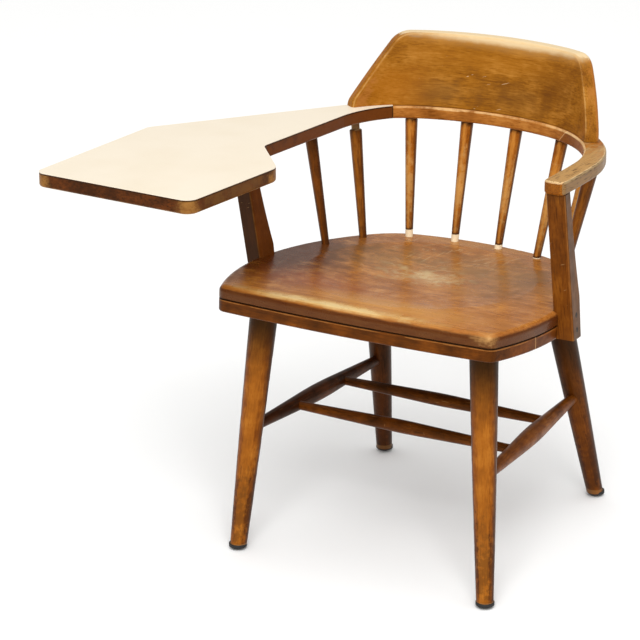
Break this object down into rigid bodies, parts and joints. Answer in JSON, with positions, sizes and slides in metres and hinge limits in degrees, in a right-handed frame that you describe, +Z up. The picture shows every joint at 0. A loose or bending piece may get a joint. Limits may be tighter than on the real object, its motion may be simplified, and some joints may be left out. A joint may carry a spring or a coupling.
{
  "type": "writing arm windsor chair",
  "caption": "Wooden windsor armchair with a bent arm bow, spindle back, bent crest, dished seat, splayed legs with stretchers, and a fixed laminate-topped writing tablet on the sitter's right.",
  "frame": {"origin": "middle of the whole chair's outline, tablet included, at floor level", "axes": "+Z up, the sitter faces -Y, +X towards the sitter's left, the tablet is at -X"},
  "size_m": [0.7644, 0.7154, 0.78],
  "materials": {
    "stained_birch": "worn reddish brown stain and varnish on birch or maple",
    "dowel_birch": "bare birch",
    "tablet_laminate": "satin cream laminate",
    "glide_steel": "dark worn steel",
    "glide_rubber": "black rubber",
    "screw_steel": "plain steel"
  },
  "bodies": {
    "root": {"back_cross_stretcher": "stained_birch", "back_left_glide_cap": "glide_steel", "back_left_glide_cushion": "glide_rubber", "back_left_leg": "stained_birch", "back_right_glide_cap": "glide_steel", "back_right_glide_cushion": "glide_rubber", "back_right_leg": "stained_birch", "centre_rail": "stained_birch", "crest": "stained_birch", "crest_screws": "screw_steel", "front_cross_stretcher": "stained_birch", "front_left_glide_cap": "glide_steel", "front_left_glide_cushion": "glide_rubber", "front_left_leg": "stained_birch", "front_right_glide_cap": "glide_steel", "front_right_glide_cushion": "glide_rubber", "front_right_leg": "stained_birch", "left_arm": "stained_birch", "left_post": "stained_birch", "left_stretcher": "stained_birch", "post_glue_block": "stained_birch", "post_screws": "screw_steel", "right_post": "stained_birch", "right_stretcher": "stained_birch", "scarf_joint_dowels": "dowel_birch", "seat_back_rail": "stained_birch", "seat_board": "stained_birch", "seat_front_rail": "stained_birch", "seat_left_rail": "stained_birch", "seat_rail_screws": "screw_steel", "seat_right_rail": "stained_birch", "spindle_1": "stained_birch", "spindle_2": "stained_birch", "spindle_3": "stained_birch", "spindle_4": "stained_birch", "spindle_5": "stained_birch", "spindle_6": "stained_birch", "spindle_7": "stained_birch", "spindle_8": "stained_birch", "tablet_core": "stained_birch", "tablet_joint_dowels": "dowel_birch", "tablet_laminate": "tablet_laminate"}
  },
  "joints": []
}
